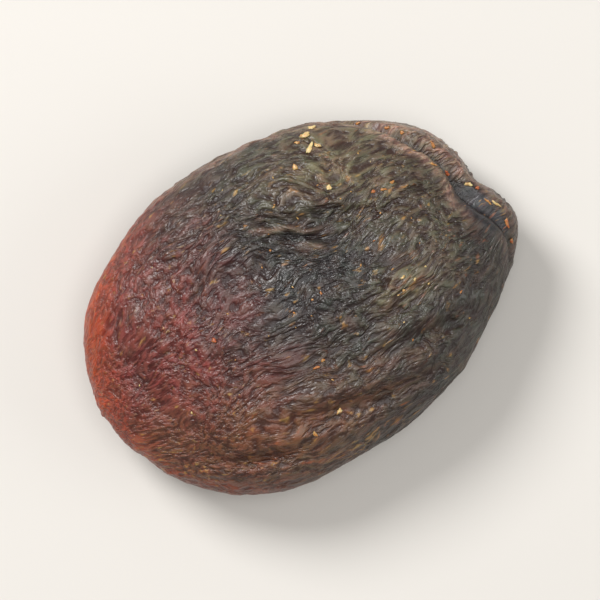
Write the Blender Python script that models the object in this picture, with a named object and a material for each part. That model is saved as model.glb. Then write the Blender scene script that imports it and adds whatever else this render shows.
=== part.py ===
# A whole dried apricot with its stone taken out, lying on its flatter cheek.
# Metres, +Z up. The origin is under the middle of the fruit, on the surface that it lies on.
# +X points to the stem end, +Y to the side where the seam between the two cheeks gapes.
import math
from itertools import product

import bmesh
import bpy
import numpy as np

MM = 0.001

# Driving sizes of the fruit
LENGTH = 41.7 * MM
WIDTH = 30.4 * MM
UPPER_HEIGHT = 7.3 * MM  # from the widest level up to the top of the upper cheek
LOWER_HEIGHT = 6.4 * MM  # from the widest level down, before the fruit is set on its flat spot
STEM_END_FULLER = 0.06  # the stem end is this share thicker than the middle, the tip thinner
FLAT_SPOT_PRESS = 1.05 * MM  # how much of the lower cheek was pressed flat where it dried
FLAT_SPOT_BLEND = 0.35 * MM  # the height over which the flat spot runs out into the cheek
RIM_FULLNESS = 0.80  # 1 gives an ellipsoid, less gives flatter cheeks and a rounder rim
MESH_COUNTS = (42, 32, 20)  # faces along X, Y and Z of the box that becomes the skin

# The plan outline: swells and hollows of an ellipse, as azimuth and width in degrees
SWELLS = (
    # azimuth, width, how far the edge moves out
    (-158, 26, 1.12 * MM),
    (-130, 20, 1.66 * MM),  # full flank at the tip end
    (-38, 16, -1.12 * MM),  # straight stretch beside the long folds
    (-23, 10, -0.15 * MM),
    (-10, 8, 0.50 * MM),  # shoulder beside the stem hollow
    (3, 11, -1.90 * MM),  # step at the stem scar
    (18, 12, -0.53 * MM),
    (40, 20, -0.80 * MM),
    (70, 22, -0.39 * MM),
    (115, 18, 0.48 * MM),
    (153, 26, 1.45 * MM),
)

# The seam runs round the rim between the cheeks. At the stem end it rides up over the edge.
SEAM_LEVEL = math.radians(-5)  # latitude of the seam where it stays on the side of the rim
SEAM_RISES = (
    # azimuth, width and latitude, all in degrees
    (21, 24, 31),
    (-9, 15, 23),
    (-70, 40, 6),
    (150, 40, -7),
)
SEAM_DEPTH = 0.40 * MM
SEAM_DEEPER = (
    (21, 24, 0.75 * MM),  # where the lips gape
    (-4, 12, 0.65 * MM),  # the stem hollow
)
SEAM_HALF_WIDTH = math.radians(3.4)
SEAM_WIDER = ((-5, 11, math.radians(1.8)),)  # the stem hollow
LIP_ROLL = 0.20 * MM  # the upper cheek's edge is rolled up beside the gaping seam
LOWER_LIP_ROLL = 0.62 * MM  # the lower cheek's lip stands up outside it, nearly as high

# Folds of the skin. Each is a line of points in mm with its half width and its height in mm.
# A height below zero is a crease.
TOP_FOLDS = (
    (((-9.0, 5.2), (0.4, 4.2), (9.6, 3.0)), 2.0, -0.42),
    (((-1.6, 9.2), (4.0, 6.9), (9.6, 4.4)), 0.9, 0.34),
    (((-1.6, 8.0), (4.0, 5.8), (9.4, 3.2)), 0.9, -0.34),
    (((-0.5, -1.6), (6.4, -3.0), (13.6, -5.0)), 1.5, 0.36),
    (((-6.0, -5.0), (2.4, -5.8), (9.8, -5.8)), 1.1, -0.28),
    (((3.0, -6.4), (9.1, -7.7), (15.4, -9.2)), 0.9, 0.34),
    (((1.0, -8.2), (8.4, -9.0), (15.0, -10.2)), 0.8, -0.34),
    (((-8.0, -7.6), (-0.4, -10.1), (4.4, -11.1), (11.6, -10.4)), 0.9, 0.38),
    (((-6.2, -9.5), (0.4, -11.6), (5.4, -12.2), (11.8, -11.2)), 0.8, -0.36),
    (((-11.0, -9.4), (-3.6, -13.0), (2.4, -13.7), (9.8, -12.6)), 0.9, 0.32),
    (((-16.4, -7.6), (-14.2, -9.7), (-11.8, -10.8), (-7.6, -12.3)), 0.8, -0.60),
    (((-17.0, -8.8), (-14.8, -10.9), (-11.4, -12.6)), 0.9, 0.32),
    (((-15.8, 8.2), (-17.4, 1.4), (-16.4, -5.6)), 1.2, -0.34),
    (((-13.4, 3.8), (-7.6, -1.2), (-5.0, -6.4)), 1.8, 0.30),
)
UNDER_FOLDS = (
    (((5.0, 1.2), (12.0, 2.6), (20.0, 2.0)), 1.6, -1.00),
    (((5.0, 3.4), (11.0, 7.4), (15.4, 10.4)), 1.5, -0.60),
    (((1.8, 5.0), (4.0, 9.6), (4.8, 15.4)), 1.6, -0.90),
    (((-2.6, 5.2), (-5.4, 9.6), (-6.4, 14.6)), 1.5, -0.60),
    (((-5.6, 2.8), (-11.4, 5.6), (-17.4, 8.6)), 1.8, -0.70),
    (((-6.0, -0.4), (-12.4, -1.6), (-19.6, -1.2)), 1.5, -0.60),
    (((-4.4, -3.6), (-9.4, -8.4), (-13.8, -12.0)), 1.8, -0.65),
    (((-0.2, -5.0), (-0.8, -9.8), (0.0, -15.2)), 1.5, -0.60),
    (((4.2, -4.4), (8.4, -8.6), (12.0, -13.0)), 1.6, -0.85),
    (((6.4, -1.4), (12.0, -3.8), (18.8, -5.6)), 1.5, -0.65),
)

# Low undulation of the dried flesh
UNDULATION = 0.32 * MM
UNDULATION_SPACING = 9.0 * MM
RIPPLE = 0.15 * MM  # long ripples that run from the stem to the tip
RIPPLE_SPACING = (10.0 * MM, 2.9 * MM, 2.9 * MM)
NOISE_CELLS = 32
UNDULATION_SEED = 11
RIPPLE_SEED = 23


def clear_scene():
    for old in list(bpy.data.objects):
        bpy.data.objects.remove(old)


def angle_bump(azimuth, centre, width):
    """1 at the centre azimuth, falling smoothly to 0 within about twice the width, in degrees."""
    away = (np.degrees(azimuth) - centre + 180) % 360 - 180
    return np.exp(-((away / width) ** 2))


def angle_sum(azimuth, rows):
    return sum(height * angle_bump(azimuth, centre, width) for centre, width, height in rows)


def gradient_noise(points, seed):
    """Smooth noise of about -0.5 to 0.5: random slopes on a unit lattice, blended by a quintic."""
    random = np.random.default_rng(seed)
    slopes = random.normal(size=(NOISE_CELLS, NOISE_CELLS, NOISE_CELLS, 3))
    slopes /= np.linalg.norm(slopes, axis=3, keepdims=True)
    cell = np.floor(points).astype(int)
    inside = points - cell
    blend = inside**3 * (inside * (inside * 6 - 15) + 10)
    total = np.zeros(len(points))
    for corner in product((0, 1), repeat=3):
        corner = np.array(corner)
        x, y, z = ((cell + corner) % NOISE_CELLS).T
        share = np.prod(np.where(corner == 1, blend, 1 - blend), axis=1)
        total += share * np.sum(slopes[x, y, z] * (inside - corner), axis=1)
    return total


def fold_heights(plan, folds):
    """Height of all folds at each plan point: a soft ridge or crease round each line of points,
    which runs out towards both ends of its line."""
    total = np.zeros(len(plan))
    for line, half_width, height in folds:
        line = np.array(line) * MM
        lengths = np.linalg.norm(np.diff(line, axis=0), axis=1)
        nearest, place = np.full(len(plan), np.inf), np.zeros(len(plan))
        for start, end, before, length in zip(line[:-1], line[1:], np.cumsum(lengths) - lengths, lengths):
            share = np.clip((plan - start) @ (end - start) / length**2, 0, 1)
            gap = np.linalg.norm(plan - start - share[:, None] * (end - start), axis=1)
            place = np.where(gap < nearest, before + share * length, place)
            nearest = np.minimum(nearest, gap)
        runout = 1 - np.abs(2 * place / lengths.sum() - 1) ** 3
        total += height * MM * (0.15 + 0.85 * runout) * np.exp(-((nearest / (half_width * MM)) ** 2))
    return total


def skin_points(box):
    """Carries points of a box from -1 to 1 to the skin of the fruit, in metres."""
    squares = box**2
    after, before = np.roll(squares, -1, axis=1), np.roll(squares, 1, axis=1)
    sphere = box * np.sqrt(1 - after / 2 - before / 2 + after * before / 3)
    azimuth = np.arctan2(WIDTH * sphere[:, 1], LENGTH * sphere[:, 0])
    latitude = np.arcsin(np.clip(sphere[:, 2], -1, 1))

    # Rows of faces close up towards the seam and follow it up and down.
    quarter = math.pi / 4
    row_squeeze = 0.45
    near_rim = np.abs(latitude) < quarter
    latitude = latitude - np.where(near_rim, row_squeeze * np.sin(4 * latitude) / 4, 0)
    seam = SEAM_LEVEL + angle_sum(azimuth, [(a, w, math.radians(h)) for a, w, h in SEAM_RISES])
    latitude = latitude + seam * (1 - (latitude / (math.pi / 2)) ** 2) ** 2

    # A flattened ellipsoid with the outline's swells
    reach = np.cos(latitude) ** RIM_FULLNESS
    level = np.abs(np.sin(latitude)) ** RIM_FULLNESS * np.sign(latitude)
    flat = sphere[:, :2] / np.maximum(np.linalg.norm(sphere[:, :2], axis=1, keepdims=True), 1e-9)
    ellipse = flat * (LENGTH / 2, WIDTH / 2)
    edge = np.maximum(np.linalg.norm(ellipse, axis=1), WIDTH / 4)
    swell = 1 + angle_sum(azimuth, SWELLS) * np.minimum(reach * 1.3, 1) / edge
    plan = ellipse * (reach * swell)[:, None]
    height = np.where(level > 0, UPPER_HEIGHT, LOWER_HEIGHT) * level
    height *= 1 + STEM_END_FULLER * plan[:, 0] / (LENGTH / 2)
    points = np.column_stack((plan, height))

    # The seam is cut in and a little down, so that the upper cheek's lip hangs over it.
    outward = np.column_stack((flat, np.zeros(len(flat))))
    half_width = SEAM_HALF_WIDTH + angle_sum(azimuth, SEAM_WIDER)
    across = (latitude - seam) / half_width
    depth = SEAM_DEPTH + angle_sum(azimuth, SEAM_DEEPER)
    cut = depth * np.exp(-(across**2))
    points -= cut[:, None] * (outward * 0.88 + (0, 0, 0.47))
    gaping = np.clip((depth - SEAM_DEPTH) / (0.75 * MM), 0, 1)
    points[:, 2] += gaping * LIP_ROLL * np.exp(-((across - 2.4) ** 2))
    points[:, 2] += gaping * LOWER_LIP_ROLL * np.exp(-(((across + 2.8) / 1.5) ** 2))

    # Undulation and ripples push the skin out and in along a rough normal.
    normal = points / np.square((LENGTH / 2, WIDTH / 2, UPPER_HEIGHT))
    normal /= np.linalg.norm(normal, axis=1, keepdims=True)
    broad = gradient_noise(points / UNDULATION_SPACING + 7.3, UNDULATION_SEED)
    bowed = plan[:, 1] / np.sqrt(1 - 0.7 * np.minimum((plan[:, 0] / (LENGTH / 2)) ** 2, 1))
    ripple_at = np.column_stack((points[:, 0], bowed, points[:, 2])) / RIPPLE_SPACING
    ripples = gradient_noise(ripple_at + 4.1, RIPPLE_SEED)
    points += normal * (2 * UNDULATION * broad + 2 * RIPPLE * ripples)[:, None]

    # Folds are raised and sunk on the two cheeks.
    face = np.clip((np.abs(level) - 0.15) / 0.35, 0, 1)
    top = np.where(level > 0, face, 0)
    under = np.where(level < 0, face, 0)
    points[:, 2] += top * fold_heights(points[:, :2], TOP_FOLDS)
    points[:, 2] -= under * fold_heights(points[:, :2], UNDER_FOLDS)
    return points


def set_down(points):
    """Presses the lowest part flat, and puts the origin under the middle of the box."""
    points = points.copy()
    above = points[:, 2] - points[:, 2].min() - FLAT_SPOT_PRESS
    eased = np.clip(above + FLAT_SPOT_BLEND, 0, None) ** 2 / (4 * FLAT_SPOT_BLEND)
    points[:, 2] = np.where(above > FLAT_SPOT_BLEND, above, eased)
    middle = (points[:, :2].min(axis=0) + points[:, :2].max(axis=0)) / 2
    points[:, :2] -= middle
    return points


def box_cage(counts):
    """A cube from -1 to 1 whose faces are cut into a grid."""
    cage = bmesh.new()
    bmesh.ops.create_cube(cage, size=2)
    for axis, count in enumerate(counts):
        along = [edge for edge in cage.edges if abs((edge.verts[0].co - edge.verts[1].co)[axis]) > 1]
        bmesh.ops.subdivide_edges(cage, edges=along, cuts=count - 1, use_grid_fill=True)
    return cage


def skin_material():
    material = bpy.data.materials.new("dried_apricot_skin")
    material.use_nodes = True
    shader = material.node_tree.nodes["Principled BSDF"]
    shader.inputs["Base Color"].default_value = (0.12, 0.075, 0.055, 1)
    shader.inputs["Roughness"].default_value = 0.55
    shader.inputs["Metallic"].default_value = 0
    return material


def dried_apricot():
    cage = box_cage(MESH_COUNTS)
    mesh = bpy.data.meshes.new("dried_apricot")
    cage.to_mesh(mesh)
    cage.free()
    box = np.empty(len(mesh.vertices) * 3)
    mesh.vertices.foreach_get("co", box)
    points = set_down(skin_points(box.reshape(-1, 3)))
    mesh.vertices.foreach_set("co", points.ravel())
    mesh.shade_smooth()
    mesh.materials.append(skin_material())
    fruit = bpy.data.objects.new("dried_apricot", mesh)
    collection = bpy.data.collections.new("dried_apricot")
    bpy.context.scene.collection.children.link(collection)
    collection.objects.link(fruit)
    return fruit


clear_scene()
dried_apricot()
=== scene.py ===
import math
from itertools import product

import bpy
import numpy as np
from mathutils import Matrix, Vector


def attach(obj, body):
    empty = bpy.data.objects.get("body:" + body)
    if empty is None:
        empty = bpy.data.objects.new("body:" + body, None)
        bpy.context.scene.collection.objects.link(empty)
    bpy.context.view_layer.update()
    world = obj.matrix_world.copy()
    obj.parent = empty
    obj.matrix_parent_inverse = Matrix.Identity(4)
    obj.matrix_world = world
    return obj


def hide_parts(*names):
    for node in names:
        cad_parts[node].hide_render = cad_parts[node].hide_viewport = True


mm = 0.001
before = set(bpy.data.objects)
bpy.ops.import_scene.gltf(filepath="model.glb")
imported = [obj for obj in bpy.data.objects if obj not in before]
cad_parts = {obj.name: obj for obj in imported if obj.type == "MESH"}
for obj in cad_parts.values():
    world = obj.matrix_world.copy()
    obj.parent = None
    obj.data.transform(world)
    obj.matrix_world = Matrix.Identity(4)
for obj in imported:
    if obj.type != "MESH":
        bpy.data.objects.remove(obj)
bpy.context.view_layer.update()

# Small tools

def linearColour(hexColour):
    # sRGB hex to linear: each channel is divided by 12.92 if dark, else raised to the power 2.4
    channels = [int(hexColour[i:i + 2], 16) / 255 for i in (1, 3, 5)]
    return [c / 12.92 if c <= 0.04045 else ((c + 0.055) / 1.055) ** 2.4 for c in channels] + [1]

def node(tree, kind, settings=None, inputs=None, stops=None):
    # adds a node with its settings; an input that is given another node's output is linked, any other is set;
    # stops are the places and greys or colours of a colour ramp
    made = tree.nodes.new(kind)
    for name, value in (settings or {}).items():
        setattr(made, name, value)
    for name, value in (inputs or {}).items():
        if isinstance(value, bpy.types.NodeSocket):
            tree.links.new(value, made.inputs[name])
        else:
            made.inputs[name].default_value = value
    for k, (place, colour) in enumerate(stops or ()):
        element = made.color_ramp.elements[k] if k < 2 else made.color_ramp.elements.new(1.0)
        element.position = place
        element.color = linearColour(colour) if isinstance(colour, str) else [colour] * 3 + [1]
    return made

def smoothStep(low, high, value):
    # 0 below low, 1 above high, and 3t^2 - 2t^3 between
    t = np.clip((value - low) / (high - low), 0, 1)
    return t * t * (3 - 2 * t)

def gradientNoise(points, seed, cells=32):
    # random slopes on a unit lattice, each times the way from its corner, blended by 6t^5 - 15t^4 + 10t^3
    random = np.random.default_rng(seed)
    slopes = random.normal(size=(cells, cells, cells, 3))
    slopes /= np.linalg.norm(slopes, axis=3, keepdims=True)
    cell = np.floor(points).astype(int)
    inside = points - cell
    blend = inside**3 * (inside * (inside * 6 - 15) + 10)
    total = np.zeros(len(points))
    for corner in product((0, 1), repeat=3):
        corner = np.array(corner)
        x, y, z = ((cell + corner) % cells).T
        share = np.prod(np.where(corner == 1, blend, 1 - blend), axis=1)
        total += share * np.sum(slopes[x, y, z] * (inside - corner), axis=1)
    return total

def boxGrid(counts):
    # the six sides of a box from -1 to 1, each a grid of two parameters; corners that fall together are one point
    quads = []
    for axis in range(3):
        u, v = (axis + 1) % 3, (axis + 2) % 3
        i, j = np.meshgrid(np.arange(counts[u]), np.arange(counts[v]), indexing="ij")
        for side in (0, counts[axis]):
            corners = []
            for di, dj in ((0, 0), (1, 0), (1, 1), (0, 1)):
                steps = np.empty(i.shape + (3,), int)
                steps[..., axis], steps[..., u], steps[..., v] = side, i + di, j + dj
                corners.append(steps.reshape(-1, 3))
            quads.append(np.stack(corners if side else corners[::-1], axis=1))
    steps, index = np.unique(np.concatenate(quads).reshape(-1, 3), axis=0, return_inverse=True)
    return 2 * steps / counts - 1, index.reshape(-1, 4)

def vertexNormals(points, quads):
    # the sum of the crossed diagonals of the faces round each point
    a, b, c, d = (points[quads[:, k]] for k in range(4))
    across = np.cross(c - a, d - b)
    normals = np.zeros_like(points)
    for k in range(4):
        for axis in range(3):
            normals[:, axis] += np.bincount(quads[:, k], across[:, axis], len(points))
    return normals / np.maximum(np.linalg.norm(normals, axis=1, keepdims=True), 1e-12)

def meshPiece(name, points, faces, material, attributes=None):
    # attributes are values a point: one number each, or three for a vector
    mesh = bpy.data.meshes.new(name)
    mesh.from_pydata(points.tolist(), [], faces.tolist())
    mesh.update()
    mesh.shade_smooth()
    for key, values in (attributes or {}).items():
        values = np.ascontiguousarray(values, dtype=np.float32)
        layer = mesh.attributes.new(key, "FLOAT" if values.ndim == 1 else "FLOAT_VECTOR", "POINT")
        layer.data.foreach_set("value" if values.ndim == 1 else "vector", values.ravel())
    mesh.materials.append(material)
    piece = bpy.data.objects.new(name, mesh)
    bpy.context.scene.collection.objects.link(piece)
    return piece

# The skin: the same form as the model's, on a finer grid, with the fine wrinkles of the dried skin

skin = {
    # form
    "length": 41.7 * mm,
    "width": 30.4 * mm,
    "upperHeight": 7.3 * mm,
    "lowerHeight": 6.4 * mm,
    "stemEndFuller": 0.06,
    "rimFullness": 0.80,
    "rimCrowding": 0.45,  # how much closer the rings of the grid lie near the rim
    "lowest": -6.5429 * mm,  # of the form before it is set down
    "middle": (-0.968 * mm, -0.145 * mm),
    "flatSpotPress": 1.05 * mm,
    "flatSpotBlend": 0.35 * mm,
    "gridCounts": (178, 132, 76),
    "swells": (  # azimuth, width in degrees, how far the edge moves out
        (-158, 26, 1.12 * mm), (-130, 20, 1.66 * mm), (-38, 16, -1.12 * mm), (-23, 10, -0.15 * mm),
        (-10, 8, 0.50 * mm), (3, 11, -1.90 * mm), (18, 12, -0.53 * mm), (40, 20, -0.80 * mm),
        (70, 22, -0.39 * mm), (115, 18, 0.48 * mm), (153, 26, 1.45 * mm)),
    "swellGrowth": 1.3,  # how soon a swell is full on the way out to the rim
    "seamLevel": math.radians(-5),
    "seamRises": ((21, 24, 31), (-9, 15, 23), (-70, 40, 6), (150, 40, -7)),  # azimuth, width, latitude
    "seamDepth": 0.40 * mm,
    "seamDeeper": ((21, 24, 0.75 * mm), (-4, 12, 0.65 * mm)),
    "seamGapes": 0.75 * mm,  # the extra depth at which it gapes fully
    "seamCut": (0.88, 0.47),  # how far inwards and how far down it is cut, for a depth of 1
    "seamHalfWidth": math.radians(3.4),
    "seamWider": ((-5, 11, math.radians(1.8)),),
    "lipRoll": 0.20 * mm, "lipAt": 2.4,  # in half widths of the seam from its line
    "lowerLipRoll": 0.62 * mm, "lowerLipAt": -2.8, "lowerLipWidth": 1.5,
    "undulation": 0.32 * mm, "undulationSpacing": 9.0 * mm, "undulationShift": 7.3, "undulationSeed": 11,
    "ripple": 0.15 * mm, "rippleSpacing": (10.0 * mm, 2.9 * mm, 2.9 * mm), "rippleShift": 4.1, "rippleSeed": 23,
    "bow": 0.7,  # how far the run of ripples and wrinkles bows with the outline
    "foldEnds": 0.15,  # share of a fold's height at the ends of its line
    "foldsFrom": 0.15, "foldsBlend": 0.35,  # share of the height where the folds begin, and how soon they are full
    "topFolds": (  # line of points in mm, half width, height
        (((-9.0, 5.2), (0.4, 4.2), (9.6, 3.0)), 2.0, -0.42),
        (((-1.6, 9.2), (4.0, 6.9), (9.6, 4.4)), 0.9, 0.34),
        (((-1.6, 8.0), (4.0, 5.8), (9.4, 3.2)), 0.9, -0.34),
        (((-0.5, -1.6), (6.4, -3.0), (13.6, -5.0)), 1.5, 0.36),
        (((-6.0, -5.0), (2.4, -5.8), (9.8, -5.8)), 1.1, -0.28),
        (((3.0, -6.4), (9.1, -7.7), (15.4, -9.2)), 0.9, 0.34),
        (((1.0, -8.2), (8.4, -9.0), (15.0, -10.2)), 0.8, -0.34),
        (((-8.0, -7.6), (-0.4, -10.1), (4.4, -11.1), (11.6, -10.4)), 0.9, 0.38),
        (((-6.2, -9.5), (0.4, -11.6), (5.4, -12.2), (11.8, -11.2)), 0.8, -0.36),
        (((-11.0, -9.4), (-3.6, -13.0), (2.4, -13.7), (9.8, -12.6)), 0.9, 0.32),
        (((-16.4, -7.6), (-14.2, -9.7), (-11.8, -10.8), (-7.6, -12.3)), 0.8, -0.60),
        (((-17.0, -8.8), (-14.8, -10.9), (-11.4, -12.6)), 0.9, 0.32),
        (((-15.8, 8.2), (-17.4, 1.4), (-16.4, -5.6)), 1.2, -0.34),
        (((-13.4, 3.8), (-7.6, -1.2), (-5.0, -6.4)), 1.8, 0.30)),
    "underFolds": (
        (((5.0, 1.2), (12.0, 2.6), (20.0, 2.0)), 1.6, -1.00),
        (((5.0, 3.4), (11.0, 7.4), (15.4, 10.4)), 1.5, -0.60),
        (((1.8, 5.0), (4.0, 9.6), (4.8, 15.4)), 1.6, -0.90),
        (((-2.6, 5.2), (-5.4, 9.6), (-6.4, 14.6)), 1.5, -0.60),
        (((-5.6, 2.8), (-11.4, 5.6), (-17.4, 8.6)), 1.8, -0.70),
        (((-6.0, -0.4), (-12.4, -1.6), (-19.6, -1.2)), 1.5, -0.60),
        (((-4.4, -3.6), (-9.4, -8.4), (-13.8, -12.0)), 1.8, -0.65),
        (((-0.2, -5.0), (-0.8, -9.8), (0.0, -15.2)), 1.5, -0.60),
        (((4.2, -4.4), (8.4, -8.6), (12.0, -13.0)), 1.6, -0.85),
        (((6.4, -1.4), (12.0, -3.8), (18.8, -5.6)), 1.5, -0.65)),

    # wrinkles, in mm
    "wrinkles": (  # spacing across, height, seed, share in the colour
        (1.60, 0.14, 31, 0.42),
        (0.86, 0.18, 37, 0.38),
        (0.54, 0.12, 41, 0.28)),
    "wrinkleMean": 0.55,
    "creases": (  # line of points, half width, height: sharp ones on the upper cheek
        (((0.5, 6.7), (1.6, 5.8), (2.8, 5.2), (4.2, 4.0), (5.6, 3.4), (6.8, 3.0)), 0.36, -0.36),
        (((-0.7, 7.9), (0.8, 6.9), (2.6, 6.2), (3.7, 4.9), (5.0, 4.3)), 0.36, 0.34),
        (((2.4, 4.6), (3.6, 3.7), (4.6, 2.6)), 0.34, 0.22),
        (((0.4, 7.9), (1.8, 7.3), (3.7, 6.1)), 0.32, -0.26),
        (((6.8, 3.0), (10.1, 3.0), (15.7, 3.1)), 0.30, -0.16),
        (((7.1, -2.6), (7.8, -3.0)), 0.50, -0.30)),
    "tipStretch": 1.2,  # how much longer than wide the wrinkles are at the tip
    "stretch": 2.3,  # and over the rest of the fruit
    "tipEnds": (-14, -4),  # x between which the one passes into the other
    "rise": 1.2,  # how much closer the wrinkles lie up the sides
    "skew": 0.62, "skewAt": (1.4, 6.2, 6.0, 3.6, 1.0),  # they run askew here, above the middle
    "sways": (  # how far, spacing and seed: of the whole run of the wrinkles, and of each wrinkle
        (1.0, 6.5, 50),
        (0.35, 2.0, 60)),
    "strength": 0.85, "strengthChange": 0.6,
    "fades": {"calm": 0.45, "flatSpot": 0.7, "seam": 0.5, "hollow": 0.7, "redRim": 0.5, "redEnd": 0.6},
    "deeper": ((1.5, 5.5, 7, 5, 0.9), (-14, 2, 7, 8, 0.4)),  # places as x, y, radius along x and y, share
    "calm": ((2, -9.5, 15, 7, 1.0),),

    # where the colours lie, in mm
    "strengthNoise": (6, 2.2, 71),  # spacing, shift, seed
    "cloud": (4.5, 6.6, 73),
    "fineCloud": (1.6, 1.6, 79),
    "stemHollow": ((((17.7, 1.7), (18.4, -0.6), (19.3, -4.8)), 1.15, 1.5),),
    "wideRim": ((161, 22, 0.95),),  # azimuth, width in degrees, share
    "thinRim": ((150, 40, 0.5), (-163, 14, 0.35), (-140, 12, 0.2)),
    # a painted highlight in the lip colour along the outline, where the edge catches the light
    "paintedRimHighlight": ((78, 46, 0.65), (16, 14, 0.6)),
    "redEnd": (-14.5, 0.5),  # x up to which it is full, and x where it ends
    "lessRed": ((-10, -11.5, 10, 4.5, 0.7),),
    # dusk: darker, bluish-grey places, partly the skin's own dark tone and partly painted shade, as at the lower
    # right; the lower-edge ones below are painted shade only
    "dusk": (
        (1.8, 6.0, 8.0, 4.6, 1.0), (4.0, 1.0, 7, 4, 0.5), (-5.5, 3.5, 7, 5, 0.6),
        (18.5, -6.5, 4, 5, 0.45), (-4, -1.5, 6.5, 5, 0.45)),
    "paintedShadeLowerEdge": ((-1, -14.4, 9, 1.8, 0.7), (-12.7, -11.4, 2.5, 1.5, 0.5)),
    "olive": (
        (8.8, -3.8, 3.8, 1.9, 0.9), (9.0, 10.0, 7.5, 4.0, 0.9), (12.5, 3.5, 5, 5, 0.5),
        (-7.0, -13.2, 5.0, 1.6, 0.9)),
    "rust": ((-12.5, -8.5, 7.5, 4.5, 1.1), (-3, -10.5, 9, 3.5, 0.6), (-18, -4, 3, 3.5, 0.7)),
    "sugarStreaks": (  # line of points, half width, share: where dried sugar lies in the skin
        (((9.9, 5.8), (10.6, 4.6), (12.1, 3.9), (13.9, 3.7)), 0.45, 1.0),
        (((8.2, -3.6), (9.6, -4.5), (11.0, -4.9)), 0.9, 0.9),
        (((-20.0, -2.6), (-18.8, -5.6), (-17.3, -8.0), (-14.9, -10.2)), 1.1, 0.9),
        (((-12.9, -9.0), (-11.0, -10.8), (-9.5, -12.1)), 0.5, 0.9),
        (((-8.4, -13.0), (-3.0, -14.3), (3.4, -14.2)), 0.7, 0.9)),
}

def angleSum(azimuth, rows):
    # bells round the rim: height times exp(-(degrees away / width)^2)
    total = np.zeros_like(azimuth)
    for centre, width, height in rows:
        away = (np.degrees(azimuth) - centre + 180) % 360 - 180
        total += height * np.exp(-((away / width) ** 2))
    return total

def bells(points, rows):
    # bells over the plan: share times exp(-(way along x / its radius)^2 - (way along y / its radius)^2)
    x, y = points[:, 0] / mm, points[:, 1] / mm
    return sum(share * np.exp(-(((x - middleX) / radiusX) ** 2 + ((y - middleY) / radiusY) ** 2))
               for middleX, middleY, radiusX, radiusY, share in rows)

def skinNoise(points, row):
    spacing, shift, seed = row
    return gradientNoise(points / (spacing * mm) + shift, seed)

def foldHeights(plan, folds):
    # each fold is its height times exp(-(distance to its line / half width)^2), and runs out at both ends of
    # its line as 1 - |2 * share of the length - 1|^3, to the share that is left there
    total = np.zeros(len(plan))
    for line, halfWidth, height in folds:
        line = np.array(line) * mm
        lengths = np.linalg.norm(np.diff(line, axis=0), axis=1)
        nearest, place = np.full(len(plan), np.inf), np.zeros(len(plan))
        for start, end, before, length in zip(line[:-1], line[1:], np.cumsum(lengths) - lengths, lengths):
            share = np.clip((plan - start) @ (end - start) / length**2, 0, 1)
            gap = np.linalg.norm(plan - start - share[:, None] * (end - start), axis=1)
            place = np.where(gap < nearest, before + share * length, place)
            nearest = np.minimum(nearest, gap)
        runout = 1 - np.abs(2 * place / lengths.sum() - 1) ** 3
        left = skin["foldEnds"] + (1 - skin["foldEnds"]) * runout
        total += height * mm * left * np.exp(-((nearest / (halfWidth * mm)) ** 2))
    return total

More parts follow.
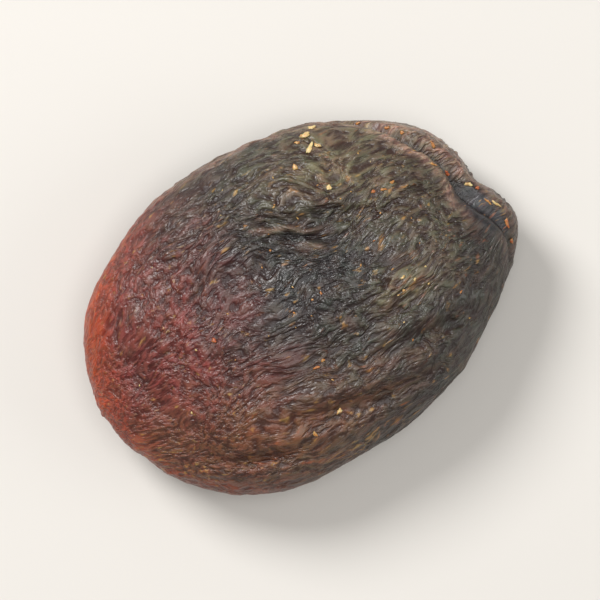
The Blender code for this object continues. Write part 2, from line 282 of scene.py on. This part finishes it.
def skinForm(box):
    # a flattened ellipsoid with powers on its sine and cosine, swells round its outline, a seam cut in along
    # a wandering latitude, low noise pushed along a rough normal, and folds added to the height
    squares = box**2
    after, before = np.roll(squares, -1, axis=1), np.roll(squares, 1, axis=1)
    sphere = box * np.sqrt(1 - after / 2 - before / 2 + after * before / 3)
    azimuth = np.arctan2(skin["width"] * sphere[:, 1], skin["length"] * sphere[:, 0])
    latitude = np.arcsin(np.clip(sphere[:, 2], -1, 1))
    crowded = skin["rimCrowding"] * np.sin(4 * latitude) / 4
    latitude = latitude - np.where(np.abs(latitude) < math.pi / 4, crowded, 0)
    seam = skin["seamLevel"] + angleSum(azimuth, [(a, w, math.radians(h)) for a, w, h in skin["seamRises"]])
    latitude = latitude + seam * (1 - (latitude / (math.pi / 2)) ** 2) ** 2

    reach = np.cos(latitude) ** skin["rimFullness"]
    level = np.abs(np.sin(latitude)) ** skin["rimFullness"] * np.sign(latitude)
    flat = sphere[:, :2] / np.maximum(np.linalg.norm(sphere[:, :2], axis=1, keepdims=True), 1e-9)
    ellipse = flat * (skin["length"] / 2, skin["width"] / 2)
    edge = np.maximum(np.linalg.norm(ellipse, axis=1), skin["width"] / 4)
    swell = 1 + angleSum(azimuth, skin["swells"]) * np.minimum(reach * skin["swellGrowth"], 1) / edge
    plan = ellipse * (reach * swell)[:, None]
    height = np.where(level > 0, skin["upperHeight"], skin["lowerHeight"]) * level
    height *= 1 + skin["stemEndFuller"] * plan[:, 0] / (skin["length"] / 2)
    points = np.column_stack((plan, height))

    inwards, down = skin["seamCut"]
    outward = np.column_stack((flat, np.zeros(len(flat))))
    across = (latitude - seam) / (skin["seamHalfWidth"] + angleSum(azimuth, skin["seamWider"]))
    depth = skin["seamDepth"] + angleSum(azimuth, skin["seamDeeper"])
    gaping = np.clip((depth - skin["seamDepth"]) / skin["seamGapes"], 0, 1)
    lowerLip = np.exp(-(((across - skin["lowerLipAt"]) / skin["lowerLipWidth"]) ** 2))
    points -= (depth * np.exp(-(across**2)))[:, None] * (outward * inwards + (0, 0, down))
    points[:, 2] += gaping * skin["lipRoll"] * np.exp(-((across - skin["lipAt"]) ** 2))
    points[:, 2] += gaping * skin["lowerLipRoll"] * lowerLip

    normal = points / np.square((skin["length"] / 2, skin["width"] / 2, skin["upperHeight"]))
    normal /= np.linalg.norm(normal, axis=1, keepdims=True)
    broad = gradientNoise(points / skin["undulationSpacing"] + skin["undulationShift"], skin["undulationSeed"])
    alongSquared = np.minimum((plan[:, 0] / (skin["length"] / 2)) ** 2, 1)
    bowed = plan[:, 1] / np.sqrt(1 - skin["bow"] * alongSquared)
    rippleAt = np.column_stack((points[:, 0], bowed, points[:, 2])) / skin["rippleSpacing"]
    ripples = gradientNoise(rippleAt + skin["rippleShift"], skin["rippleSeed"])
    points += normal * (2 * skin["undulation"] * broad + 2 * skin["ripple"] * ripples)[:, None]

    face = np.clip((np.abs(level) - skin["foldsFrom"]) / skin["foldsBlend"], 0, 1)
    points[:, 2] += np.where(level > 0, face, 0) * foldHeights(points[:, :2], skin["topFolds"])
    points[:, 2] -= np.where(level < 0, face, 0) * foldHeights(points[:, :2], skin["underFolds"])
    return points, azimuth, latitude, across, gaping, bowed

def setDown(points):
    # the lowest part is pressed flat, with a short parabola round it, and the plan's middle comes to the origin
    points = points.copy()
    above = points[:, 2] - skin["lowest"] - skin["flatSpotPress"]
    eased = np.clip(above + skin["flatSpotBlend"], 0, None) ** 2 / (4 * skin["flatSpotBlend"])
    points[:, 2] = np.where(above > skin["flatSpotBlend"], above, eased)
    points[:, :2] -= skin["middle"]
    return points

def flowPlaces(points, bowed):
    # where each point lies in the run of the wrinkles, in mm: the way along the fruit divided by how stretched
    # they are there (added up from one end in steps of 0.1), the bowed way across, and the height, swayed by
    # slow noise
    steps = np.linspace(-30, 30, 601)
    stretch = skin["tipStretch"] + (skin["stretch"] - skin["tipStretch"]) * smoothStep(*skin["tipEnds"], steps)
    way = np.cumsum(0.1 / stretch)
    x, y, z = (points / mm).T
    across = bowed / mm + skin["skew"] * (x - skin["skewAt"][0]) * bells(points, (skin["skewAt"],))
    base = np.column_stack((x, across, z * skin["rise"]))
    for size, spacing, seed in skin["sways"]:
        wander = [gradientNoise(base / spacing + shift, seed + k) for k, shift in enumerate((3.1, 9.7, 5.3))]
        base = base + 2 * size * np.column_stack(wander)
    base[:, 0] = np.interp(base[:, 0], steps, way)
    return base

def wrinkleLayers(flow):
    # half rounded folds with narrow valleys, the absolute value of noise to the power 0.75, and half the plain
    # noise, from 0 to about 1 a layer
    layers = []
    for spacing, _, seed, _ in skin["wrinkles"]:
        noise = gradientNoise(flow / spacing + 11.7, seed)
        layers.append(0.5 * np.clip(np.abs(noise) * 2.4, 0, 1.15) ** 0.75 + 0.5 * smoothStep(-0.4, 0.4, noise))
    return layers

def dressSkin(material):
    # the form with its wrinkles pushed along the normal, and a value a point for the place of each colour; gives
    # the piece, and the points and normals of its upper cheek, for the crumbs that sit on it
    box, quads = boxGrid(skin["gridCounts"])
    form, azimuth, latitude, across, gaping, bowed = skinForm(box)
    rest = setDown(form)
    x, _, z = (rest / mm).T
    upper = latitude > 0
    reach = np.cos(latitude) ** skin["rimFullness"]  # 1 at the outline
    flow = flowPlaces(form, bowed)
    cloud, fineCloud = skinNoise(form, skin["cloud"]), skinNoise(form, skin["fineCloud"])
    wideRim, thinRim, paintedRimHighlight = (angleSum(azimuth, skin[name]) for name in ("wideRim", "thinRim", "paintedRimHighlight"))
    hollow = np.clip(foldHeights(rest[:, :2], skin["stemHollow"]) / mm, 0, 1) * upper
    creases = foldHeights(rest[:, :2], skin["creases"]) * upper
    calm = bells(rest, skin["calm"])
    maroon = 1 - smoothStep(*skin["redEnd"], x + 4.5 * cloud + 2 * fineCloud)
    maroon = maroon * (1 - bells(rest, skin["lessRed"]))

    # the wrinkles: the finest are fainter at the red end, and all fade into the hollow, the seam, the flat spot
    # and the red rim
    fades = skin["fades"]
    layers = wrinkleLayers(flow)
    layers[2] = layers[2] + fades["redEnd"] * maroon * (skin["wrinkleMean"] - layers[2])
    strength = skin["strength"] + skin["strengthChange"] * skinNoise(form, skin["strengthNoise"])
    strength = strength * (1 + bells(rest, skin["deeper"])) * (1 - fades["calm"] * calm)
    strength = strength * (1 - fades["flatSpot"] * (1 - smoothStep(0.0, 0.5, z))) * (1 - fades["hollow"] * hollow)
    strength = strength * (1 - fades["seam"] * np.exp(-((across / 1.4) ** 2)))
    strength = strength * (1 - fades["redRim"] * smoothStep(0.85, 0.96, reach) * wideRim)
    raised = sum(height * (layer - skin["wrinkleMean"])
                 for (_, height, _, _), layer in zip(skin["wrinkles"], layers)) * mm
    points = setDown(form + vertexNormals(form, quads) * (strength * raised)[:, None])
    points[:, 2] += creases

    # where each colour of the skin lies; ridge is the height in the wrinkles, and flow their run; ridge picks the
    # lighter ridge colour, partly painted highlight, or the darker valley colour, partly painted shade
    cheek = smoothStep(-0.2, 0.3, latitude)
    edge = reach + 0.04 * cloud + 0.03 * fineCloud
    ridge = np.clip(sum(share * layer for (_, _, _, share), layer in zip(skin["wrinkles"], layers)), 0, 1)
    # lip: a painted highlight along the upper cheek's edge above the seam, the lower lip strip's own lighter tone,
    # a painted highlight on the crests of the creases, and a painted highlight along the outline
    lip = np.exp(-(((across - 2.2) / 0.8) ** 2)) + 0.75 * smoothStep(0.2, 1.2, -across)
    lip = gaping * lip * (1 - hollow) + 1.3 * np.maximum(creases, 0) / mm + smoothStep(0.95, 0.99, edge) * paintedRimHighlight
    attributes = {
        "flow": flow,
        # the creases added to ridge paint shade into their valleys and a highlight onto their crests
        "ridge": 0.5 + (ridge - 0.5) * (0.95 - 0.45 * calm) + 2.5 * creases / mm,
        "calm": np.clip(0.35 * calm + 0.6 * maroon, 0, 1),
        "sugar": foldHeights(rest[:, :2], skin["sugarStreaks"]) / mm * cheek,
        # dusk: partly the skin's own dark tone, partly painted shade; the lower-edge part is painted shade only
        "dusk": np.clip(bells(rest, skin["dusk"]), 0, 1) * cheek + bells(rest, skin["paintedShadeLowerEdge"]),
        "olive": np.clip(bells(rest, skin["olive"]) + 0.5 * cloud * cheek * smoothStep(-4, 6, x), 0, 1),
        "maroon": maroon,
        "rust": np.clip(bells(rest, skin["rust"]) + 0.5 * fineCloud, 0, 1),
        # orange-red at the rim: partly the skin's own colour, partly painted glow of light through the thin flesh
        "orangeRimAndGlow": np.clip(smoothStep(0.80, 0.97, edge) * wideRim + smoothStep(0.935, 0.99, edge) * thinRim, 0, 1),
        "lip": np.clip(lip, 0, 1) * smoothStep(-0.12, 0.12, latitude + 0.2 * fineCloud),
        # hollow: dark colour painted as shade in the gaping seam's crevice, and in the stem hollow partly painted
        # shade, partly its own dark smooth skin
        "hollow": np.clip(hollow + 0.8 * gaping * np.exp(-(((across - 0.1) / 0.6) ** 2)), 0, 1),
    }
    piece = meshPiece("wrinkledSkin", points, quads, material, attributes)
    return piece, points[upper], vertexNormals(points, quads)[upper]

# Materials

skinFinish = {
    # each pair's ridge colour is lighter partly as painted highlight, and its valley colour darker partly as
    # painted shade; the rest is the skin's own colour
    "middle": ("#3d3c35", "#241815"),  # colour of the ridges, and of the valleys between them
    "places": {  # the same, and how fully it covers those above it
        # dusk: partly the skin's own dark tone, partly painted shade
        "dusk": ("#2a2b2c", "#130d0f", 0.9),
        "olive": ("#6b634e", "#3a2b22", 1.0),
        "maroon": ("#773b35", "#461512", 1.0),
        "rust": ("#6f4931", "#3f2418", 0.8),
        # orange-red rim: partly the skin's own colour, partly painted glow of light through the thin flesh
        "orangeRimAndGlow": ("#a2431d", "#7f2b0c", 1.0),
        # lip: the lower lip strip's own lighter tone, and the colour of the painted highlights on the upper cheek's
        # edge, the crease crests and the outline
        "lip": ("#9c8573", "#6a554b", 0.9),
        # hollow: painted shade in the seam's crevice, and in the stem hollow partly painted shade, partly its own
        # dark smooth skin
        "hollow": ("#303034", "#202023", 1.0),
    },
    "blotches": 0.55,  # how many lie in a mm across the wrinkles, as for the streaks and tints
    "blotchCover": (0.6, 1.35),  # least and most that a blotch lets a place cover
    "streaks": 1.1,
    "streakTones": (0.74, 1.30),
    "flecks": (  # of dried sugar: colour, seed, how many in a mm, noise at which they begin and are full
        ("#a58148", 8.1, 1.9, 0.63, 0.72),
        ("#8d5232", 5.4, 1.5, 0.64, 0.76)),
    "fleckCover": 0.75,
    "sugarMore": 0.13,  # how much sooner flecks begin in a streak of sugar
    "tints": ("#ffe6e8", "#eff3e7", 1.4),  # faint rosy and greenish places in the film of the skin
    "fineWrinkles": (0.50, 0.16),  # spacing and height in mm
    "calmFade": 0.55,  # how far they fade where the skin is calm
    "grain": (0.17, 0.025),  # spacing and height in mm, drawn twice as coarse as it is, to show at all
    "roughness": (0.27, 0.45),
    "subsurface": 0.08,
}

def driedSkinMaterial():
    # sun-dried apricot skin: a tough, slightly waxy film drawn into fine wrinkles over sticky flesh; dull greyish
    # glints on the ridges, whose lighter colour is partly painted highlight, dark red-brown valleys, whose colour
    # is partly painted shade, and a little light that comes through where the flesh is thin, which the orange-red
    # rim colour partly paints too
    material = bpy.data.materials.new("sunDriedSkin")
    material.use_nodes = True
    tree = material.node_tree
    tree.nodes.clear()
    place = node(tree, "ShaderNodeTexCoord").outputs["Object"]
    flow = node(tree, "ShaderNodeAttribute", {"attribute_name": "flow"}).outputs["Vector"]
    masks = {name: node(tree, "ShaderNodeAttribute", {"attribute_name": name}).outputs["Fac"]
             for name in ("ridge", "calm", "sugar", *skinFinish["places"])}

    # fine wrinkles that run on between the modelled ones, fainter where the skin is calm
    spacing, fineHeight = skinFinish["fineWrinkles"]
    fineNoise = node(tree, "ShaderNodeTexNoise", None, {
        "Vector": flow, "Scale": 1 / spacing, "Detail": 2.0, "Roughness": 0.5}).outputs["Fac"]
    fineRidge = node(tree, "ShaderNodeMapRange", {"interpolation_type": "SMOOTHSTEP"}, {
        "Value": fineNoise, "From Min": 0.32, "From Max": 0.66}).outputs["Result"]
    faded = node(tree, "ShaderNodeMath", {"operation": "MULTIPLY"}, {
        0: masks["calm"], 1: skinFinish["calmFade"]}).outputs[0]
    fineRidge = node(tree, "ShaderNodeMix", {"data_type": "FLOAT"}, {0: faded, 2: fineRidge, 3: 0.5}).outputs[0]

    # colour of the ridges and valleys: blotches drawn out along the wrinkles break up the edge of each place
    mottle = node(tree, "ShaderNodeTexNoise", None, {
        "Vector": flow, "Scale": skinFinish["blotches"], "Detail": 4.0, "Roughness": 0.6}).outputs["Fac"]
    streak = node(tree, "ShaderNodeTexNoise", {"noise_dimensions": "4D"}, {
        "Vector": flow, "W": 3.7, "Scale": skinFinish["streaks"], "Detail": 3.0, "Roughness": 0.6}).outputs["Fac"]
    ridgeColour, valleyColour = (linearColour(colour) for colour in skinFinish["middle"])
    least, most = skinFinish["blotchCover"]
    for name, (ridgeHere, valleyHere, cover) in skinFinish["places"].items():
        broken = node(tree, "ShaderNodeMapRange", None, {
            "Value": mottle, "From Min": 0.34, "From Max": 0.66,
            "To Min": least * cover, "To Max": most * cover}).outputs["Result"]
        share = node(tree, "ShaderNodeMath", {"operation": "MULTIPLY", "use_clamp": True}, {
            0: masks[name], 1: broken}).outputs[0]
        ridgeColour = node(tree, "ShaderNodeMix", {"data_type": "RGBA"}, {
            0: share, 6: ridgeColour, 7: linearColour(ridgeHere)}).outputs[2]
        valleyColour = node(tree, "ShaderNodeMix", {"data_type": "RGBA"}, {
            0: share, 6: valleyColour, 7: linearColour(valleyHere)}).outputs[2]
    darkTone, lightTone = skinFinish["streakTones"]
    tone = node(tree, "ShaderNodeValToRGB", None, {0: streak}, (
        (0.30, darkTone), (0.70, lightTone))).outputs["Color"]
    ridgeColour = node(tree, "ShaderNodeMix", {"data_type": "RGBA", "blend_type": "MULTIPLY"}, {
        0: 1.0, 6: ridgeColour, 7: tone}).outputs[2]
    for colour, seed, scale, begin, full in skinFinish["flecks"]:
        fleck = node(tree, "ShaderNodeTexNoise", {"noise_dimensions": "4D"}, {
            "Vector": flow, "W": seed, "Scale": scale, "Detail": 2.0}).outputs["Fac"]
        fleck = node(tree, "ShaderNodeMath", {"operation": "MULTIPLY_ADD"}, {
            0: masks["sugar"], 1: skinFinish["sugarMore"], 2: fleck}).outputs[0]
        fleck = node(tree, "ShaderNodeValToRGB", None, {0: fleck}, (
            (begin, 0.0), (full, skinFinish["fleckCover"]))).outputs["Color"]
        ridgeColour = node(tree, "ShaderNodeMix", {"data_type": "RGBA"}, {
            0: fleck, 6: ridgeColour, 7: linearColour(colour)}).outputs[2]

    # both by the height in the modelled and the fine wrinkles, under the tints of the film: beside the skin's own
    # difference, the valleys get the darker colour as painted shade and the ridges the lighter one as painted
    # highlight
    height = node(tree, "ShaderNodeMath", {"operation": "ADD"}, {0: masks["ridge"], 1: fineRidge}).outputs[0]
    height = node(tree, "ShaderNodeMapRange", {"interpolation_type": "SMOOTHSTEP"}, {
        "Value": height, "From Min": 0.45, "From Max": 1.45}).outputs["Result"]
    colour = node(tree, "ShaderNodeMix", {"data_type": "RGBA"}, {
        0: height, 6: valleyColour, 7: ridgeColour}).outputs[2]
    rosy, greenish, scale = skinFinish["tints"]
    tint = node(tree, "ShaderNodeTexNoise", {"noise_dimensions": "4D"}, {
        "Vector": flow, "W": 6.2, "Scale": scale, "Detail": 2.0}).outputs["Fac"]
    tint = node(tree, "ShaderNodeValToRGB", None, {0: tint}, ((0.38, rosy), (0.62, greenish))).outputs["Color"]
    colour = node(tree, "ShaderNodeMix", {"data_type": "RGBA", "blend_type": "MULTIPLY"}, {
        0: 1.0, 6: colour, 7: tint}).outputs[2]

    # relief too fine for the mesh: the grain of the film, and the fine wrinkles, which the stem hollow has few of
    grainSpacing, grainHeight = skinFinish["grain"]
    grain = node(tree, "ShaderNodeTexNoise", None, {
        "Vector": place, "Scale": 1 / (grainSpacing * mm), "Detail": 2.0}).outputs["Fac"]
    grainBump = node(tree, "ShaderNodeBump", None, {
        "Strength": 1.0, "Distance": grainHeight * mm, "Height": grain}).outputs["Normal"]
    wrinkled = node(tree, "ShaderNodeMapRange", None, {
        "Value": masks["hollow"], "To Min": 1.0, "To Max": 0.25}).outputs["Result"]
    bump = node(tree, "ShaderNodeBump", None, {
        "Strength": wrinkled, "Distance": fineHeight * mm, "Height": fineRidge,
        "Normal": grainBump}).outputs["Normal"]

    glossy, dull = skinFinish["roughness"]
    roughness = node(tree, "ShaderNodeMapRange", None, {
        "Value": streak, "From Min": 0.3, "From Max": 0.7, "To Min": glossy, "To Max": dull}).outputs["Result"]
    surface = node(tree, "ShaderNodeBsdfPrincipled", None, {
        "IOR": 1.47, "Subsurface Weight": skinFinish["subsurface"], "Subsurface Scale": 1.2 * mm,
        "Subsurface Radius": (1.0, 0.38, 0.18), "Base Color": colour, "Roughness": roughness,
        "Normal": bump}).outputs[0]
    node(tree, "ShaderNodeOutputMaterial", None, {"Surface": surface})
    return material

crumbFinish = {
    "tints": ((0.0, "#9c4a28"), (0.5, "#ad7c41"), (1.0, "#d6c18a")),  # orange, amber and nearly cream
    "clouds": (0.3, 0.9),  # spacing in mm, and how far they change the tint
    "roughness": 0.34,
    "subsurface": 0.25,
}

def driedJuiceMaterial():
    # dried juice and pulp: hard, cloudy crumbs of sugar and fibre, from orange through amber to nearly cream,
    # a little glossy where they broke
    material = bpy.data.materials.new("driedJuice")
    material.use_nodes = True
    tree = material.node_tree
    tree.nodes.clear()
    place = node(tree, "ShaderNodeTexCoord").outputs["Object"]
    tint = node(tree, "ShaderNodeAttribute", {"attribute_name": "tint"}).outputs["Fac"]
    spacing, change = crumbFinish["clouds"]
    cloud = node(tree, "ShaderNodeTexNoise", None, {
        "Vector": place, "Scale": 1 / (spacing * mm), "Detail": 2.0}).outputs["Fac"]
    cloud = node(tree, "ShaderNodeMath", {"operation": "MULTIPLY_ADD"}, {
        0: cloud, 1: change, 2: -change / 2}).outputs[0]
    shade = node(tree, "ShaderNodeMath", {"operation": "ADD", "use_clamp": True}, {0: tint, 1: cloud}).outputs[0]
    colour = node(tree, "ShaderNodeValToRGB", None, {0: shade}, crumbFinish["tints"]).outputs["Color"]
    surface = node(tree, "ShaderNodeBsdfPrincipled", None, {
        "IOR": 1.50, "Roughness": crumbFinish["roughness"], "Subsurface Weight": crumbFinish["subsurface"],
        "Subsurface Scale": 0.4 * mm, "Base Color": colour}).outputs[0]
    node(tree, "ShaderNodeOutputMaterial", None, {"Surface": surface})
    return material

# Crumbs of dried juice and pulp on the skin, and the torn remains of the stem in its hollow

crumbs = {
    "placed": (  # x, y, length, width and thickness in mm, turn in degrees, tint from 0, orange, to 1, cream
        (7.7, 7.3, 0.62, 0.46, 0.22, 20, 0.95), (-8.6, 0.9, 0.48, 0.42, 0.20, 0, 0.10),
        (-2.3, -10.6, 0.55, 0.42, 0.22, 40, 0.75), (-5.2, -11.2, 0.46, 0.38, 0.20, 80, 0.55),
        (8.4, 12.7, 1.00, 0.60, 0.25, 150, 0.75), (9.3, 12.9, 0.70, 0.54, 0.22, 20, 0.90),
        (8.1, 11.2, 1.20, 0.46, 0.24, 35, 0.95), (8.9, 11.3, 0.70, 0.46, 0.20, 100, 0.80),
        (6.0, 10.5, 0.60, 0.42, 0.18, 60, 0.60), (7.3, 12.3, 0.45, 0.34, 0.18, 10, 0.55),
        (10.9, 4.9, 0.40, 0.28, 0.16, 30, 0.35), (11.8, 4.5, 0.55, 0.26, 0.16, 160, 0.40),
        (12.8, 4.7, 0.40, 0.26, 0.15, 20, 0.45), (-2.0, -6.0, 0.55, 0.28, 0.16, 170, 0.30),
        (-1.2, -5.8, 0.36, 0.28, 0.15, 30, 0.35), (9.0, -3.2, 0.40, 0.26, 0.14, 10, 0.75),
        (9.9, -3.9, 0.34, 0.24, 0.14, 60, 0.65), (8.5, -4.3, 0.30, 0.22, 0.12, 120, 0.60),
        (16.2, 8.1, 0.42, 0.30, 0.16, 120, 0.45), (15.2, 9.2, 0.46, 0.30, 0.16, 140, 0.40),
        (13.2, 11.0, 0.42, 0.28, 0.16, 150, 0.35)),
    "stem": (
        (17.9, 5.6, 0.70, 0.28, 0.20, 95, 0.50), (16.9, 4.1, 0.55, 0.24, 0.18, 140, 0.60),
        (17.7, 2.8, 0.50, 0.36, 0.26, 60, 0.10), (18.8, 0.8, 0.66, 0.38, 0.28, 130, 0.85),
        (19.3, 0.1, 0.40, 0.30, 0.22, 30, 0.05), (19.5, -1.4, 0.75, 0.20, 0.20, 100, 0.45),
        (20.0, -1.9, 0.85, 0.26, 0.22, 115, 0.85), (20.0, -4.0, 0.80, 0.34, 0.16, 85, 0.25),
        (19.5, -5.6, 0.60, 0.28, 0.14, 80, 0.20)),
    "grains": 44,
    "grainArea": (19, 14),  # half length and half width of the box they fall in, in mm
    "grainRim": (19.5, 13.8),  # and of the ellipse that keeps them off the rim
    "grainsMost": (9, 3, 8, 9),  # x and y where most lie, and how far that reaches along x and y
    "grainsLeast": 0.15,  # share of them that stays far from there
    "grainSize": (0.12, 0.26),
    "grainShape": (1.3, 0.8, 0.5),  # length, width and thickness for a size of 1
    "grainTint": (0.3, 0.8),
    "lumps": ((2, 0.20), (3, 0.16), (5, 0.10)),  # waves round a crumb, and their height
    "broken": 0.16,  # how far each of its points strays
    "raised": 0.17,  # how far its middle lies above the skin, as a share of its thickness
    "seed": 5,
}

def crumbShape(rings, sides):
    # a closed ball on a grid of turn and rise: radius cos(rise), closed at the top and the bottom
    rises = np.linspace(-math.pi / 2, math.pi / 2, rings + 2)[1:-1]
    turns = np.linspace(0, 2 * math.pi, sides, endpoint=False)
    rise, turn = (grid.ravel() for grid in np.meshgrid(rises, turns, indexing="ij"))
    ring = np.column_stack((np.cos(turn) * np.cos(rise), np.sin(turn) * np.cos(rise), np.sin(rise)))
    i, j = np.meshgrid(np.arange(rings - 1), np.arange(sides), indexing="ij")
    a, b = (1 + i * sides + j).ravel(), (1 + i * sides + (j + 1) % sides).ravel()
    k = np.arange(sides)
    top = 1 + (rings - 1) * sides
    last = top + sides
    triangles = np.vstack((np.column_stack((a, b, b + sides)), np.column_stack((a, b + sides, a + sides)),
                           np.column_stack((np.zeros(sides, int), 1 + (k + 1) % sides, 1 + k)),
                           np.column_stack((np.full(sides, last), top + k, top + (k + 1) % sides))))
    return np.vstack(((0, 0, -1), ring, (0, 0, 1))), triangles

def crumbPiece(name, rows, ground, material, seed, rings, sides, curl):
    # each crumb is the ball with a lumpy radius, scaled to its size, its ends bent up by curl times the square
    # of the way along, and set on the nearest point of the skin, sunk in by a third of its thickness
    random = np.random.default_rng(seed)
    groundPoints, groundNormals = ground
    shape, triangles = crumbShape(rings, sides)
    turns = np.arctan2(shape[:, 1], shape[:, 0])
    allPoints, allFaces, allTints = [], [], []
    for x, y, length, width, thickness, turn, tint in rows:
        nearest = np.argmin((groundPoints[:, 0] - x * mm) ** 2 + (groundPoints[:, 1] - y * mm) ** 2)
        spot, normal = groundPoints[nearest], groundNormals[nearest]
        along = np.array((math.cos(math.radians(turn)), math.sin(math.radians(turn)), 0.0))
        along -= normal * (along @ normal)
        along /= np.linalg.norm(along)
        beside = np.cross(normal, along)
        phases = random.uniform(0, 2 * math.pi, len(crumbs["lumps"]))
        lumps = 1 + sum(size * np.sin(waves * turns + phase)
                        for (waves, size), phase in zip(crumbs["lumps"], phases))
        lumps = lumps * (1 + crumbs["broken"] * random.normal(size=len(shape)).clip(-1.5, 1.5))
        crumb = shape * lumps[:, None] * (length / 2, width / 2, thickness / 2)
        crumb[:, 2] += curl * crumb[:, 0] ** 2 + thickness * crumbs["raised"]
        turned = crumb[:, :1] * along + crumb[:, 1:2] * beside + crumb[:, 2:] * normal
        allFaces.append(triangles + len(shape) * len(allPoints))
        allPoints.append(spot + turned * mm)
        allTints.append(np.full(len(shape), tint))
    piece = meshPiece(name, np.vstack(allPoints), np.vstack(allFaces), material, {"tint": np.concatenate(allTints)})
    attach(piece, "root")

def scatteredGrains():
    # rows like those of the placed crumbs, at random, the chance of each place a bell round where most lie
    random = np.random.default_rng(crumbs["seed"])
    (areaX, areaY), (rimX, rimY) = crumbs["grainArea"], crumbs["grainRim"]
    mostX, mostY, reachX, reachY = crumbs["grainsMost"]
    least = crumbs["grainsLeast"]
    long, wide, thick = crumbs["grainShape"]
    rows = []
    while len(rows) < crumbs["grains"]:
        x, y = random.uniform(-areaX, areaX), random.uniform(-areaY, areaY)
        likely = least + (1 - least) * np.exp(-((x - mostX) / reachX) ** 2 - ((y - mostY) / reachY) ** 2)
        size = random.uniform(*crumbs["grainSize"])
        if np.hypot(x / rimX, y / rimY) < 1 and random.uniform() < likely:
            turn, tint = random.uniform(0, 180), random.uniform(*crumbs["grainTint"])
            rows.append((x, y, size * long, size * wide, size * thick, turn, tint))
    return rows

# Build

print("skin")
skinPiece, *ground = dressSkin(driedSkinMaterial())
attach(skinPiece, "root")
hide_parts("dried_apricot")

print("crumbs of dried juice and the torn stem")
driedJuice = driedJuiceMaterial()
crumbPiece("juiceCrumbs", crumbs["placed"], ground, driedJuice, crumbs["seed"], rings=6, sides=12, curl=0.2)
crumbPiece("juiceGrains", scatteredGrains(), ground, driedJuice, crumbs["seed"], rings=3, sides=7, curl=0.0)
crumbPiece("tornStem", crumbs["stem"], ground, driedJuice, crumbs["seed"] + 1, rings=8, sides=18, curl=0.35)

# Floor, light and camera

studio = {
    "floor": "#d2cec8",
    "floorHalf": 0.6,  # half its side, in metres
    "floorRoughness": 0.7,
    "world": "#f3f1ee",
    "worldStrength": 0.38,
    "lights": (  # name, place in metres, size, watts
        ("keyLight", (-0.10, 0.42, 0.42), 0.26, 3.5),
        ("topLight", (0.05, -0.05, 0.60), 0.35, 1.3),
        ("fillLight", (0.40, -0.30, 0.25), 0.35, 0.7)),
    "lightsAim": (0, 0, 0.006),
    "lens": 100,
    "viewWidth": 0.0555,  # metres across the frame at the fruit's widest level
    "widestLevel": 0.0067,
    "distance": 0.42,
    "roll": 31.85,  # degrees, so that the long axis climbs to the upper right
}

def floorPiece():
    # one pale square under the fruit, of dull painted board
    half = studio["floorHalf"]
    material = bpy.data.materials.new("palePaintedFloor")
    material.use_nodes = True
    surface = material.node_tree.nodes["Principled BSDF"]
    surface.inputs["Base Color"].default_value = linearColour(studio["floor"])
    surface.inputs["Roughness"].default_value = studio["floorRoughness"]
    points = np.array([(-half, -half, 0), (half, -half, 0), (half, half, 0), (-half, half, 0)])
    meshPiece("floor", points, np.array([(0, 1, 2, 3)]), material)

print("floor, light and camera")
floorPiece()
for name, place, size, power in studio["lights"]:
    lightData = bpy.data.lights.new(name, "AREA")
    lightData.shape, lightData.size, lightData.energy = "DISK", size, power
    light = bpy.data.objects.new(name, lightData)
    light.location = place
    light.rotation_euler = (Vector(studio["lightsAim"]) - Vector(place)).to_track_quat("-Z", "Y").to_euler()
    bpy.context.scene.collection.objects.link(light)

world = bpy.data.worlds.new("paleRoom")
world.use_nodes = True
background = world.node_tree.nodes["Background"]
background.inputs["Color"].default_value = linearColour(studio["world"])
background.inputs["Strength"].default_value = studio["worldStrength"]
bpy.context.scene.world = world
bpy.context.scene.view_settings.view_transform = "Standard"

cameraData = bpy.data.cameras.new("camera")
cameraData.lens = studio["lens"]
cameraData.sensor_width = studio["lens"] * studio["viewWidth"] / studio["distance"]
cameraData.clip_start = 0.01
camera = bpy.data.objects.new("camera", cameraData)
camera.location = (0, 0, studio["widestLevel"] + studio["distance"])
camera.rotation_euler = (0, 0, -math.radians(studio["roll"]))
bpy.context.scene.collection.objects.link(camera)
bpy.context.scene.camera = camera
